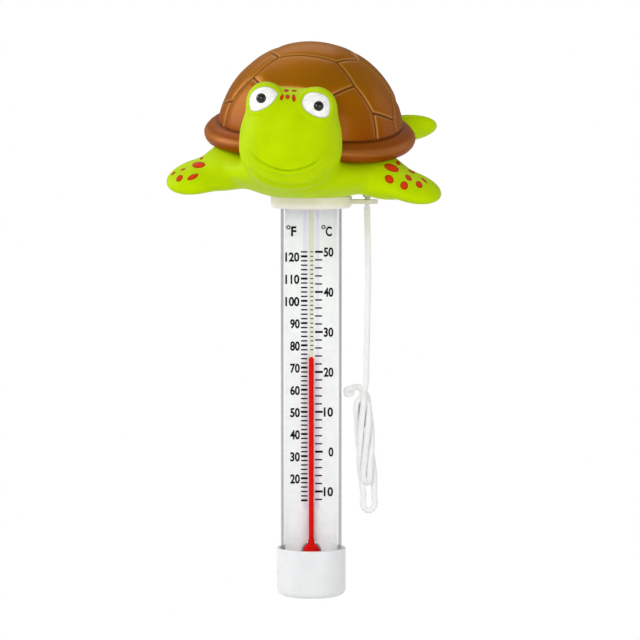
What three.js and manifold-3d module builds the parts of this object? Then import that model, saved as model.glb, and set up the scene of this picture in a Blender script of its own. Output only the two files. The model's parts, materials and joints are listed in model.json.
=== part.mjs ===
// Floating pool thermometer: a vinyl turtle float on a clear stem that holds a spirit thermometer,
// with a weighted end cap and a braided lanyard.
// Millimetres, +Z up. The scale faces -Y and the lanyard eyelet points along +X.
// The origin is the centre of the end cap's flat foot.
import * as THREE from 'three';
import { mergeVertices } from 'three/addons/utils/BufferGeometryUtils.js';
import Module from 'manifold-3d';

const wasm = await Module();
wasm.setup();

// ---- driving dimensions ----
const gap = 0.3; // clearance between touching pieces
const roundSides = 40; // sides on the larger round pieces

const capRadius = 13.8;
const capHeight = 19.3;
const capCorner = 3;
const capFloor = 3;

const tubeRadius = 12.2;
const tubeWall = 1.2;
const tubeTop = 171;

const collarRadius = 16.2;
const collarBottom = 155.6;
const collarTop = 160.3;
const spigotRadius = 14;
const spigotTop = 176;
const grooveBottom = 162.6; // groove that holds the collar's seal ring
const grooveTop = 165.2;
const grooveDepth = 1;
const beadHeight = 168; // snap bead that holds the turtle on the spigot
const beadRadius = 1.1;

const tabReach = 22.3; // tube axis to eyelet centre
const tabRadius = 4.3;
const tabBottom = 157.4;
const tabThickness = 1.6;
const eyeletRadius = 1.9;

const stemDepth = -1.9; // y of the glass stem's axis, in front of the card
const glassRadius = 1.6;
const boreRadius = 0.8;
const bulbRadius = 3.65;
const bulbHeight = 17.8;
const bulbWall = 0.5;
const glassTop = 152;

const markedTemperature = 120; // degrees F at the height below
const markedHeight = 136.3;
const heightPerDegree = 0.892;
const readingTemperature = 75;

const cordRadius = 1.25;
const hankWidth = 8.4;
const hankDepth = 7;
const hankTop = 84.6;
const hankBottom = 34;
const hankLean = 2.5; // degrees, outward

// turtle: the shell's base plane is the turtle's own z = 0, nose towards its own -Y
const shellCentre = new THREE.Vector3(-0.5, 6, 184.5);
const turtleYaw = THREE.MathUtils.degToRad(-11);
const turtlePitch = THREE.MathUtils.degToRad(12);
const turtleRoll = THREE.MathUtils.degToRad(2.5);
const domeWidth = 36.8; // half width, half length and height of the dome
const domeLength = 40;
const domeHeight = 37;
const rimWidth = 42.3;
const skirtLow = -2.9; // the shell's lower edge
const rimTop = 4.2; // where the rim meets the dome
const shellWall = 2.4;
const skinWall = 2.6;
const bellyHeight = collarTop + gap;
const seatHeight = bellyHeight + 6.4; // inner floor of the hollow body, round the spigot

const tubeInner = tubeRadius - tubeWall;
const tubeBottom = capFloor + 1.8;
const innerClear = tubeInner - 0.4;
const bulbTop = bulbHeight + bulbRadius;
const readingHeight = markedHeight - (markedTemperature - readingTemperature) * heightPerDegree;

// ---- helpers ----
function finish(name, geometry, color, roughness, metalness = 0) {
  const material = new THREE.MeshStandardMaterial({ color, roughness, metalness });
  const mesh = new THREE.Mesh(geometry, material);
  mesh.name = name;
  return mesh;
}

function solidOf(geometry) {
  const bare = geometry.clone();
  bare.deleteAttribute('normal');
  bare.deleteAttribute('uv');
  const merged = mergeVertices(bare, 1e-4);
  const vertProperties = new Float32Array(merged.attributes.position.array);
  const triVerts = new Uint32Array(merged.index.array);
  return new wasm.Manifold(new wasm.Mesh({ numProp: 3, vertProperties, triVerts }));
}

function geometryOf(solid) {
  const mesh = solid.getMesh();
  const geometry = new THREE.BufferGeometry();
  geometry.setAttribute('position', new THREE.BufferAttribute(new Float32Array(mesh.vertProperties), 3));
  geometry.setIndex(new THREE.BufferAttribute(new Uint32Array(mesh.triVerts), 1));
  return geometry;
}

// A solid of revolution about Z from [radius, height] points that run upward on the outside.
function turned(points, sides = roundSides) {
  const profile = points.map(([radius, height]) => new THREE.Vector2(radius, height));
  return new THREE.LatheGeometry(profile, sides).rotateX(Math.PI / 2);
}

function arcPoints(centreRadius, centreHeight, radius, fromDegrees, toDegrees, steps) {
  const points = [];
  for (let step = 0; step <= steps; step += 1) {
    const angle = THREE.MathUtils.degToRad(fromDegrees + ((toDegrees - fromDegrees) * step) / steps);
    points.push([centreRadius + radius * Math.cos(angle), centreHeight + radius * Math.sin(angle)]);
  }
  return points;
}

function disc(radius, bottom, top, sides = roundSides) {
  return turned([[0, bottom], [radius, bottom], [radius, top], [0, top]], sides);
}

function ring(inner, outer, bottom, top, sides = roundSides) {
  return turned([[inner, bottom], [outer, bottom], [outer, top], [inner, top], [inner, bottom]], sides);
}

function sealRing(radius, section, height) {
  return turned(arcPoints(radius, height, section, 0, 360, 8), roundSides);
}

function box(width, depth, height, x, y, z) {
  return new THREE.BoxGeometry(width, depth, height).translate(x, y, z);
}

// An ellipsoid in the turtle's own frame, turned by degrees about its own X, Y and Z.
function egg(centre, radii, turn = [0, 0, 0], sides = 26, rings = 14) {
  const geometry = new THREE.SphereGeometry(1, sides, rings).rotateX(Math.PI / 2);
  geometry.scale(...radii);
  const [x, y, z] = turn.map(THREE.MathUtils.degToRad);
  geometry.applyMatrix4(new THREE.Matrix4().makeRotationFromEuler(new THREE.Euler(x, y, z, 'ZYX')));
  return geometry.translate(...centre);
}

function placeTurtle(geometry) {
  const rotation = new THREE.Matrix4().makeRotationX(turtlePitch);
  rotation.multiply(new THREE.Matrix4().makeRotationY(turtleRoll));
  rotation.multiply(new THREE.Matrix4().makeRotationZ(turtleYaw));
  return geometry.applyMatrix4(rotation).translate(shellCentre.x, shellCentre.y, shellCentre.z);
}

function turtleSolid(...eggs) {
  return eggs.map((geometry) => solidOf(placeTurtle(geometry.clone()))).reduce((all, one) => all.add(one));
}

// ---- end cap and what it holds ----
function endCap() {
  const inner = tubeRadius + gap;
  const corner = arcPoints(capRadius - capCorner, capCorner, capCorner, -90, 0, 6);
  const lip = 0.6;
  const profile = [[0, 0], ...corner, [capRadius, capHeight - lip], [capRadius - lip, capHeight],
    [inner, capHeight], [inner, capFloor], [0, capFloor]];
  return finish('end_cap', turned(profile), '#eceded', 0.3);
}

function capGasket() {
  return finish('cap_gasket', ring(9, tubeRadius, capFloor + gap, tubeBottom - gap), '#2c2d2f', 0.7);
}

function ballastWeight() {
  const chamfer = 0.6;
  const bottom = capFloor + gap;
  const neck = 8.6; // the slug steps in to pass through the gasket
  const top = 11.2;
  const profile = [[0, bottom], [neck, bottom], [neck, tubeBottom + gap], [innerClear, tubeBottom + gap],
    [innerClear, top - chamfer], [innerClear - chamfer, top], [0, top]];
  return finish('ballast_weight', turned(profile), '#8c8f92', 0.4, 1);
}

function bulbCushion() {
  const bottom = 11.5;
  const top = 16;
  const cup = new THREE.SphereGeometry(bulbRadius + gap, 24, 16).translate(0, stemDepth, bulbHeight);
  const slot = box(23, 1.2, 2, 0, 0.45, top);
  const solid = solidOf(disc(innerClear, bottom, top)).subtract(solidOf(cup)).subtract(solidOf(slot));
  return finish('bulb_cushion', geometryOf(solid), '#f2f2ee', 0.9);
}

// ---- stem tube ----
function stemTube() {
  return finish('stem_tube', ring(tubeInner, tubeRadius, tubeBottom, tubeTop, 48), '#eef2f4', 0.08);
}

function scaleCard() {
  const thickness = 0.5;
  const halfWidth = 10.5;
  const bottom = 15.6;
  const top = 157.6;
  const notch = bulbRadius + 0.3;
  const outline = new THREE.Shape();
  outline.moveTo(-halfWidth, bottom);
  outline.lineTo(-notch, bottom);
  outline.lineTo(-notch, bulbHeight);
  outline.absarc(0, bulbHeight, notch, Math.PI, 0, true);
  outline.lineTo(notch, bottom);
  outline.lineTo(halfWidth, bottom);
  outline.lineTo(halfWidth, top);
  outline.lineTo(-halfWidth, top);
  const settings = { depth: thickness, bevelEnabled: false, curveSegments: 8 };
  const card = new THREE.ExtrudeGeometry(outline, settings);
  card.rotateX(Math.PI / 2).translate(0, thickness + 0.2, 0);
  return finish('scale_card', card, '#f1f2f3', 0.55);
}

function topPlug() {
  const bottom = 155.9;
  const top = 163;
  const chamfer = 0.6;
  const plug = turned([[0, bottom], [innerClear, bottom], [innerClear, top - chamfer],
    [innerClear - chamfer, top], [0, top]]);
  const cardSlot = box(23, 1.2, 4, 0, 0.45, bottom);
  const rearVent = new THREE.CylinderGeometry(1.5, 1.5, 12, 16).rotateX(Math.PI / 2).translate(0, 6, 160);
  const solid = solidOf(plug).subtract(solidOf(cardSlot)).subtract(solidOf(rearVent));
  return finish('top_plug', geometryOf(solid), '#e6e6df', 0.5);
}

// ---- glass thermometer ----
function capillaryGlass() {
  const outerBulb = arcPoints(0, bulbHeight, bulbRadius, -90, 64, 10);
  const innerBulb = arcPoints(0, bulbHeight, bulbRadius - bulbWall, 75, -90, 9);
  const profile = [...outerBulb, [glassRadius, bulbTop + 0.4], [glassRadius, glassTop - 0.5],
    [glassRadius - 0.5, glassTop], [boreRadius + 0.2, glassTop], [boreRadius + 0.2, bulbTop], ...innerBulb];
  profile[0][0] = 0;
  profile[profile.length - 1][0] = 0;
  const glass = turned(profile, 20).translate(0, stemDepth, 0);
  return finish('capillary_glass', glass, '#f3f0d8', 0.05);
}

const neckTop = bulbTop + 2;
const dropletHeight = 1.6;

function spiritBulb() {
  const radius = bulbRadius - bulbWall - 0.2;
  const ball = arcPoints(0, bulbHeight, radius, -90, 72, 9);
  ball[0][0] = 0;
  const profile = [...ball, [boreRadius, bulbTop - 0.6], [boreRadius, neckTop], [0, neckTop]];
  return finish('spirit_bulb', turned(profile, 16).translate(0, stemDepth, 0), '#d8261c', 0.2);
}

function spiritColumn() {
  const bottom = neckTop + 0.1;
  const top = readingHeight - dropletHeight - 0.1;
  const column = disc(boreRadius, bottom, top, 14).translate(0, stemDepth, 0);
  return finish('spirit_column', column, '#e33933', 0.2);
}

function spiritMeniscus() {
  const bottom = readingHeight - dropletHeight;
  const dome = arcPoints(0, readingHeight - boreRadius, boreRadius, 0, 90, 4);
  dome[dome.length - 1][0] = 0;
  const profile = [[0, bottom], [boreRadius, bottom], ...dome];
  return finish('spirit_meniscus', turned(profile, 14).translate(0, stemDepth, 0), '#db2921', 0.2);
}

// ---- collar ----
function collar() {
  const inner = tubeRadius + gap;
  const edge = arcPoints(collarRadius - 1.8, collarBottom + 1.8, 1.8, -90, 0, 4);
  const bead = arcPoints(spigotRadius, beadHeight, beadRadius, -90, 90, 4);
  const chamfer = 1;
  const ceiling = tubeTop + 2.2; // leaves room for the seal ring on the tube's end
  const profile = [[inner, collarBottom], ...edge, [collarRadius, collarTop], [spigotRadius, collarTop],
    [spigotRadius, grooveBottom], [spigotRadius - grooveDepth, grooveBottom],
    [spigotRadius - grooveDepth, grooveTop], [spigotRadius, grooveTop], ...bead,
    [spigotRadius, spigotTop - chamfer], [spigotRadius - chamfer, spigotTop],
    [0, spigotTop], [0, ceiling], [inner, ceiling], [inner, collarBottom]];
  const tab = new THREE.Shape();
  tab.moveTo(spigotRadius - 1, -tabRadius);
  tab.lineTo(tabReach, -tabRadius);
  tab.absarc(tabReach, 0, tabRadius, -Math.PI / 2, Math.PI / 2, false);
  tab.lineTo(spigotRadius - 1, tabRadius);
  const eyelet = new THREE.Path();
  eyelet.absarc(tabReach, 0, eyeletRadius, 0, 2 * Math.PI, true);
  tab.holes.push(eyelet);
  const settings = { depth: tabThickness, bevelEnabled: false, curveSegments: 10 };
  const plate = new THREE.ExtrudeGeometry(tab, settings).translate(0, 0, tabBottom);
  const solid = solidOf(turned(profile, 48)).add(solidOf(plate));
  return finish('collar', geometryOf(solid), '#dfe0cb', 0.45);
}

function collarSealRing() {
  const section = 0.4;
  const height = (grooveBottom + grooveTop) / 2;
  return finish('collar_seal_ring', sealRing(spigotRadius - section, section, height), '#2c2d2f', 0.7);
}

function tubeSealRing() {
  const section = 0.7;
  return finish('tube_seal_ring', sealRing(tubeRadius - section, section, tubeTop + 1.1), '#2c2d2f', 0.7);
}

// ---- turtle ----
function turtleShell() {
  const lengthen = domeLength / domeWidth;
  const dome = [];
  const lining = [];
  const steps = 12;
  const domeStart = Math.asin(rimTop / domeHeight);
  for (let step = 0; step <= steps; step += 1) {
    const angle = (Math.PI / 2) * (step / steps);
    const domeAngle = domeStart + (Math.PI / 2 - domeStart) * (step / steps);
    dome.push([domeWidth * Math.cos(domeAngle), domeHeight * Math.sin(domeAngle)]);
    lining.unshift([(domeWidth - shellWall) * Math.cos(angle), (domeHeight - shellWall) * Math.sin(angle)]);
  }
  dome[steps][0] = 0;
  lining[0][0] = 0;
  const rim = [[domeWidth - shellWall, skirtLow + 0.8], [domeWidth, skirtLow],
    [rimWidth - 2, skirtLow + 0.6], [rimWidth, skirtLow + 3.8], [rimWidth - 1.4, skirtLow + 6.4]];
  const profile = [...rim, ...dome, ...lining, rim[0]];
  const geometry = placeTurtle(turned(profile, 44).scale(1, lengthen, 1));
  return finish('turtle_shell', geometry, '#9f5303', 0.35, 0.3);
}

// The outer forms of the body, each drawn in by inset to give the hollow inside.
function bodyForms(inset) {
  const underShell = shellWall + 2 * gap;
  const hump = domeWidth - underShell;
  const lengthen = domeLength / domeWidth;
  const back = egg([0, 0, 0], [hump - inset, hump * lengthen - inset, domeHeight - underShell - inset]);
  const torso = egg([0, 0, -9], [35.5 - inset, 40.5 - inset, 16 - inset]);
  const head = egg([0, -42, 4.5], [20.2 - inset, 18.5 - inset, 20.5 - inset]);
  const neck = egg([0, -30, -6], [17 - inset, 20 - inset, 15 - inset]);
  return [back, torso, head, neck];
}

function limbs() {
  const parts = [];
  for (const side of [-1, 1]) {
    const shoulder = -14.6 + side * 2.2; // the pose holds the left front flipper lower on the body
    parts.push(egg([side * 38, -20, shoulder], [17.5, 11.5, 5.4], [18, side * 10, side * 8], 20, 10));
    parts.push(egg([side * 33, 34, -5.5], [15, 8.2, 4], [0, side * 4, side * 40], 16, 8));
    parts.push(egg([side * 9.2, -41, 21], [8, 9, 7.2], [0, 0, 0], 16, 10));
  }
  return parts;
}

function turtleBody() {
  const [back, torso, head, neck] = bodyForms(0);
  const hollow = turtleSolid(...bodyForms(skinWall + 0.4));
  const below = solidOf(box(200, 200, 40, 0, 0, bellyHeight - 20));
  const flippers = turtleSolid(...limbs()).subtract(shellSpace());
  const innerFloor = solidOf(box(200, 200, 40, 0, 0, seatHeight - 20));
  const spigotHole = solidOf(disc(spigotRadius + gap, bellyHeight - 5, bellyHeight + 20, 48));
  const beadBelow = seatHeight - 2; // the bead snaps in over the floor's inner lip
  const beadRoom = solidOf(disc(spigotRadius + beadRadius + gap, beadBelow, bellyHeight + 20, 48));
  const pocket = new THREE.SphereGeometry(3.4, 20, 14).translate(tabReach, 0, bellyHeight);
  const knotPocket = solidOf(pocket);
  const outer = 60; // wider and higher than the turtle
  const skirtRoom = placeTurtle(ring(domeWidth - shellWall - 0.4, outer, skirtLow - 0.6, outer, 44)
    .scale(1, domeLength / domeWidth, 1));
  const underShell = turtleSolid(back, torso).subtract(solidOf(skirtRoom));
  const outsideShell = turtleSolid(torso, head, neck).subtract(shellSpace());
  let solid = underShell.add(outsideShell).subtract(below).add(flippers);
  solid = solid.subtract(hollow.subtract(innerFloor));
  solid = solid.subtract(spigotHole).subtract(beadRoom).subtract(knotPocket);
  return finish('turtle_body', geometryOf(solid), '#c3e401', 0.5);
}

// The room that the shell takes up, with its clearance.
function shellSpace() {
  const lengthen = domeLength / domeWidth;
  const steps = 10;
  const dome = [];
  const domeStart = Math.asin((rimTop + 2 * gap) / domeHeight);
  for (let step = 0; step <= steps; step += 1) {
    const angle = domeStart + (Math.PI / 2 - domeStart) * (step / steps);
    dome.push([(domeWidth + gap) * Math.cos(angle), (domeHeight + gap) * Math.sin(angle)]);
  }
  dome[steps][0] = 0;
  const profile = [[0, skirtLow - 0.6], [rimWidth + gap, skirtLow - 0.6],
    [rimWidth + gap, rimTop + gap], ...dome];
  return solidOf(placeTurtle(turned(profile, 44).scale(1, lengthen, 1)));
}

// ---- lanyard ----
// The route of the straight stretch, hand placed, from under the eyelet to the hank. It swings about its
// first point, where its end is round.
const cordRoute = [
  [22.3, 0, 155.6], [22.4, 0, 150], [22.6, -0.2, 140], [22.7, -0.3, 130],
  [22.6, -0.3, 120], [22.4, -0.2, 110], [22.2, 0, 100], [22.0, 0, 92], [21.8, 0, 85.2],
];

function cordSection() {
  const section = new THREE.Shape();
  for (let side = 0; side < 8; side += 1) {
    const angle = (side / 8) * 2 * Math.PI;
    const x = cordRadius * Math.cos(angle);
    const y = cordRadius * Math.sin(angle);
    if (side === 0) section.moveTo(x, y);
    else section.lineTo(x, y);
  }
  section.closePath();
  return section;
}

function lanyardCord() {
  const route = new THREE.CatmullRomCurve3(cordRoute.map((point) => new THREE.Vector3(...point)));
  const settings = { steps: 14, bevelEnabled: false, extrudePath: route };
  const cord = new THREE.ExtrudeGeometry(cordSection(), settings);
  const roundEnd = new THREE.SphereGeometry(cordRadius, 12, 10).translate(...cordRoute[0]);
  return finish('lanyard_cord', geometryOf(solidOf(cord).add(solidOf(roundEnd))), '#f4f4f4', 0.8);
}

// The hank's outer shape: a slim bar with round ends that leans a little outward.
function lanyardHank() {
  const halfWidth = hankWidth / 2;
  const topCentre = 20.8; // x of the hank's axis at its top
  const outline = new THREE.Shape();
  outline.absarc(0, hankBottom + halfWidth, halfWidth, Math.PI, 2 * Math.PI, false);
  outline.absarc(0, hankTop - halfWidth, halfWidth, 0, Math.PI, false);
  outline.closePath();
  const settings = { depth: hankDepth, bevelEnabled: false, curveSegments: 10 };
  const hank = new THREE.ExtrudeGeometry(outline, settings).translate(0, -hankTop, -hankDepth / 2);
  hank.rotateZ(THREE.MathUtils.degToRad(hankLean)).rotateX(Math.PI / 2).translate(topCentre, 0, hankTop);
  return finish('lanyard_hank', hank, '#f0f0f0', 0.85);
}

function lanyardKnot() {
  const tabTop = tabBottom + tabThickness;
  const knotRadius = 2.4;
  const knotHalfHeight = 1.5;
  const centre = [tabReach, 0, tabTop + gap + knotHalfHeight];
  const ball = egg(centre, [knotRadius, knotRadius, knotHalfHeight], [0, 0, 0], 18, 12);
  const neckBottom = cordRoute[0][2] + cordRadius + gap;
  const neck = disc(cordRadius, neckBottom, centre[2], 14).translate(tabReach, 0, 0);
  return finish('lanyard_knot', geometryOf(solidOf(ball).add(solidOf(neck))), '#f4f4f4', 0.8);
}

// ---- assembly ----
const group = new THREE.Group();
group.add(endCap(), capGasket(), ballastWeight(), bulbCushion());
group.add(stemTube(), scaleCard(), topPlug());
group.add(capillaryGlass(), spiritBulb(), spiritColumn(), spiritMeniscus());
group.add(collar(), collarSealRing(), tubeSealRing());
group.add(turtleBody(), turtleShell());
group.add(lanyardCord(), lanyardHank(), lanyardKnot());

export default group;
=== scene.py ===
"""Floating pool thermometer: a vinyl turtle float on a clear stem with a spirit thermometer and a cord.

Laid out as an add-on and run as a script. Everything is in metres in the part's own frame:
+Z up the stem, -Y the side the scale and the face are on, +X towards the lanyard eyelet.
"""

import json
import math

import bmesh
import bpy
import numpy as np
from mathutils import Matrix, Vector
from mathutils.bvhtree import BVHTree

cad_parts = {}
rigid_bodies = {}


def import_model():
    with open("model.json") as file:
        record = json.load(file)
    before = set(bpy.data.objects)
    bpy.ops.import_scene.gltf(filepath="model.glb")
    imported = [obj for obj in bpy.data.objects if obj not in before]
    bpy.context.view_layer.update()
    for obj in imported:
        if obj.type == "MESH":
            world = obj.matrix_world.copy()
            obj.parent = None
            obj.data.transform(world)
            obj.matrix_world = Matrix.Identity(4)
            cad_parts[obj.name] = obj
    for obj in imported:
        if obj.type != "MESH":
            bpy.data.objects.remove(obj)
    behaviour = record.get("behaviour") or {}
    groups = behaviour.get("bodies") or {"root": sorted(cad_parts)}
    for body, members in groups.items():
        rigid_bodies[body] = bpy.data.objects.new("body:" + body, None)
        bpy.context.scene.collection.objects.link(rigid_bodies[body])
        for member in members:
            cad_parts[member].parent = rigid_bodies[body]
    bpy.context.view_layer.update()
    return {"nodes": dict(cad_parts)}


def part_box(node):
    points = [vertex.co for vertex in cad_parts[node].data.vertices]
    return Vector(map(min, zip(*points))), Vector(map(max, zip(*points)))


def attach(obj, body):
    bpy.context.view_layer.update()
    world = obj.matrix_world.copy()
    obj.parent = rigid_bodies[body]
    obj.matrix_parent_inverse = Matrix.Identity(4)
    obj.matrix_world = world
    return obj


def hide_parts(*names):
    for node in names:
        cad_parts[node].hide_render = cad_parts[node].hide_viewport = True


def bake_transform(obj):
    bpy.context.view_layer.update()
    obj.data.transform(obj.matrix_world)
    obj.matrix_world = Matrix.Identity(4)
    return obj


bl_info = {
    "name": "Floating Pool Thermometer",
    "version": (1, 0, 0),
    "blender": (4, 5, 0),
    "location": "View3D > Sidebar > Thermometer",
    "description": "Builds the looks of a turtle pool thermometer around its packed frame",
    "category": "Add Mesh",
}

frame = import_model()
MM = 0.001

CAP_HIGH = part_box("end_cap")[1]
TUBE_LOW, TUBE_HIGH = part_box("stem_tube")
CARD_LOW, CARD_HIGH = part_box("scale_card")
GLASS_LOW, GLASS_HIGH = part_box("capillary_glass")
MENISCUS_LOW, MENISCUS_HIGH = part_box("spirit_meniscus")
BULB_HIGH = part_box("spirit_bulb")[1]
COLLAR_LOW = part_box("collar")[0]
KNOT_LOW, KNOT_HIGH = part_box("lanyard_knot")
STEM_Y = (GLASS_LOW.y + GLASS_HIGH.y) / 2
BULB_RADIUS = (GLASS_HIGH.x - GLASS_LOW.x) / 2
BULB_Z = GLASS_LOW.z + BULB_RADIUS
READING_Z = MENISCUS_HIGH.z


# ---------------------------------------------------------------- sizes and colours


class FloatSizes(bpy.types.PropertyGroup):
    """The turtle's place and the depth of its moulded lines."""

    tilt: bpy.props.FloatVectorProperty(
        name="Tilt",
        description="Nose-down, sideways and turning angle of the shell",
        default=(math.radians(12), math.radians(2.5), math.radians(-11)),
        subtype="EULER",
        unit="ROTATION",
    )
    centre: bpy.props.FloatVectorProperty(
        name="Shell centre",
        description="Middle of the shell's base",
        default=(-0.0005, 0.006, 0.1845),
        subtype="TRANSLATION",
        unit="LENGTH",
    )
    dome: bpy.props.FloatVectorProperty(
        name="Dome",
        description="Half width, half length and height of the shell's dome",
        default=(0.0368, 0.040, 0.037),
        subtype="XYZ",
        unit="LENGTH",
    )
    seam_depth: bpy.props.FloatProperty(
        name="Scute seam depth",
        description="Depth of the lines between the scutes",
        default=0.0006,
        unit="LENGTH",
    )
    neck_arch: bpy.props.FloatProperty(
        name="Neck arch",
        description="How far the shell's rim rises over the neck",
        default=0.0031,
        unit="LENGTH",
    )
    skin_voxel: bpy.props.FloatProperty(
        name="Skin fineness",
        description="Size of the body's first mesh faces",
        default=0.0008,
        unit="LENGTH",
    )


class ScaleSizes(bpy.types.PropertyGroup):
    """The printed scale."""

    per_degree: bpy.props.FloatProperty(
        name="Height per degree F",
        description="Distance between two degrees Fahrenheit on the card",
        default=0.000892,
        precision=6,
        unit="LENGTH",
    )
    reading: bpy.props.FloatProperty(
        name="Reading",
        description="Temperature shown at rest, in degrees Fahrenheit",
        default=75.0,
    )
    digit_height: bpy.props.FloatProperty(
        name="Digit height",
        description="Height of the printed digits",
        default=0.0038,
        unit="LENGTH",
    )


class CordSizes(bpy.types.PropertyGroup):
    """The braided lanyard."""

    diameter: bpy.props.FloatProperty(
        name="Cord diameter", description="Thickness of the braid", default=0.0025, unit="LENGTH"
    )


class Finishes(bpy.types.PropertyGroup):
    """The colours a user would change, as sRGB hex."""

    skin: bpy.props.StringProperty(name="Skin", description="Vinyl skin", default="#BBDA00")
    shell: bpy.props.StringProperty(name="Shell", description="Pearl paint", default="#A06200")
    spots: bpy.props.StringProperty(name="Spots", description="Sprayed spots", default="#DC3C02")
    spirit: bpy.props.StringProperty(name="Spirit", description="Dyed spirit", default="#E60B06")
    cap: bpy.props.StringProperty(name="Cap", description="End cap", default="#EBECED")
    collar: bpy.props.StringProperty(name="Collar", description="Collar", default="#FBF1E8")
    cord: bpy.props.StringProperty(name="Cord", description="Braid", default="#FFFFFF")


class ThermometerSettings(bpy.types.PropertyGroup):
    """All the groups together."""

    turtle: bpy.props.PointerProperty(type=FloatSizes)
    scale: bpy.props.PointerProperty(type=ScaleSizes)
    lanyard: bpy.props.PointerProperty(type=CordSizes)
    colours: bpy.props.PointerProperty(type=Finishes)


# ---------------------------------------------------------------- materials


DRIFT_RANGE = (0.3, 0.7)  # the part of a noise's range that is spread over two shades


def linear(hex_colour):
    """An sRGB hex colour as linear red, green, blue and alpha."""
    parts = [int(hex_colour[i : i + 2], 16) / 255 for i in (1, 3, 5)]
    return (*[c / 12.92 if c <= 0.04045 else ((c + 0.055) / 1.055) ** 2.4 for c in parts], 1.0)


def node(tree, kind, settings=None, **inputs):
    """Adds a node. settings are its own values, inputs are socket values or the sockets to link."""
    made = tree.nodes.new(kind)
    for key, value in (settings or {}).items():
        setattr(made, key, value)
    for key, value in inputs.items():
        socket = made.inputs[int(key[1:])] if key[0] == "i" and key[1:].isdigit() else None
        socket = socket or made.inputs[key.replace("_", " ")]
        if isinstance(value, bpy.types.NodeSocket):
            tree.links.new(value, socket)
        else:
            socket.default_value = value
    return made


def new_material(name):
    """An empty node material and its tree."""
    material = bpy.data.materials.new(name)
    material.use_nodes = True
    material.node_tree.nodes.clear()
    return material, material.node_tree


def finish_surface(tree, shader):
    """Links a shader to the material's output."""
    out = tree.nodes.new("ShaderNodeOutputMaterial")
    tree.links.new(shader, out.inputs["Surface"])


def toned(hex_colour, factor=1.0):
    """A colour made darker or lighter."""
    red, green, blue, alpha = linear(hex_colour)
    return (red * factor, green * factor, blue * factor, alpha)


def grain(width_mm, detail=2.0):
    """Noise with patches of this width, as a kind of node, its settings and its inputs."""
    return "ShaderNodeTexNoise", {}, {"Scale": 1 / (width_mm * MM), "Detail": detail}


def surface(name, shades, patterns, roughness, bump=None, painted=(), rough_from=0, **inputs):
    """A surface whose colour drifts between two shades.

    The first pattern drives the colour, the one numbered rough_from a pair of roughness limits, and
    the last one the relief. bump is the relief's depth in mm and its strength. painted holds
    (point attribute, colour), each laid over what is below it.
    """
    material, tree = new_material(name)
    place = node(tree, "ShaderNodeTexCoord").outputs["Object"]
    drifts = [
        node(tree, kind, settings, Vector=place, **values).outputs["Fac"]
        for kind, settings, values in patterns
    ]
    ramp = node(tree, "ShaderNodeValToRGB", Fac=drifts[0])
    for element, position, shade in zip(ramp.color_ramp.elements, DRIFT_RANGE, shades):
        element.position = position
        element.color = shade
    colour = ramp.outputs["Color"]
    for attribute, paint in painted:
        where = node(tree, "ShaderNodeAttribute", {"attribute_name": attribute}).outputs["Fac"]
        mixed = node(tree, "ShaderNodeMix", {"data_type": "RGBA"}, i0=where, i6=colour, i7=paint)
        colour = mixed.outputs[2]
    if isinstance(roughness, tuple):
        limits = {"From_Min": DRIFT_RANGE[0], "From_Max": DRIFT_RANGE[1]}
        limits.update(To_Min=roughness[0], To_Max=roughness[1])
        roughness = node(tree, "ShaderNodeMapRange", Value=drifts[rough_from], **limits).outputs["Result"]
    if bump:
        raised = node(tree, "ShaderNodeBump", Height=drifts[-1], Strength=bump[1], Distance=bump[0] * MM)
        inputs["Normal"] = raised.outputs["Normal"]
    shader = node(tree, "ShaderNodeBsdfPrincipled", Base_Color=colour, Roughness=roughness, **inputs)
    finish_surface(tree, shader.outputs[0])
    return material


def moulded_vinyl(name, hex_colour):
    """Rotocast soft PVC: satin, a little light passing through, faint orange peel."""
    return surface(
        name,
        (toned(hex_colour, 0.94), toned(hex_colour, 1.03)),
        [grain(9), grain(0.9, 1.0)],
        (0.42, 0.5),
        bump=(0.05, 0.25),
        Specular_IOR_Level=0.05,
        Specular_Tint=(0.9, 1.0, 0.3, 1.0),
        Subsurface_Weight=0.05,
        Subsurface_Radius=(0.6, 0.9, 0.05),
        Subsurface_Scale=0.0015,
    )


def pearl_paint(name, hex_colour):
    """Bronze pearl paint sprayed on vinyl: a soft metallic sheen, redder towards the rim, with darker
    paint lying in the seams, a painted highlight beside them and a fainter one along the lip."""
    return surface(
        name,
        (toned(hex_colour, 0.92), toned(hex_colour, 1.08)),
        [grain(12), grain(0.5, 1.0)],
        (0.38, 0.46),
        bump=(0.03, 0.2),
        # edge paints a highlight in a lighter colour beside the seams and along the lip.
        painted=[("skirt", toned("#924600")), ("edge", toned("#D39C5A")), ("seam", toned("#472205"))],
        rough_from=1,
        Metallic=0.32,
        Specular_IOR_Level=0.05,
        Specular_Tint=(1.0, 0.55, 0.15, 1.0),
        Coat_Weight=0.12,
        Coat_Roughness=0.18,
    )


def sprayed_paint(name, hex_colour, roughness, gloss=0.5):
    """Paint sprayed through a mask: even colour, darker in a narrow band at its rim."""
    return surface(
        name,
        (toned(hex_colour, 0.86), toned(hex_colour, 1.06)),
        [grain(1.6)],
        roughness,
        bump=(0.02, 0.2),
        painted=[("rim", toned(hex_colour, 0.45))],
        Specular_IOR_Level=gloss,
    )


def moulded_plastic(name, hex_colour, roughness):
    """Injection-moulded ABS: smooth and glossy, with a faint flow mottling."""
    return surface(
        name,
        (toned(hex_colour, 0.97), toned(hex_colour, 1.02)),
        [grain(6)],
        (roughness * 0.9, roughness * 1.15),
        bump=(0.05, 0.15),
        IOR=1.53,
        Subsurface_Weight=0.05,
        Subsurface_Radius=(1.0, 1.0, 1.0),
        Subsurface_Scale=0.001,
    )


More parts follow.
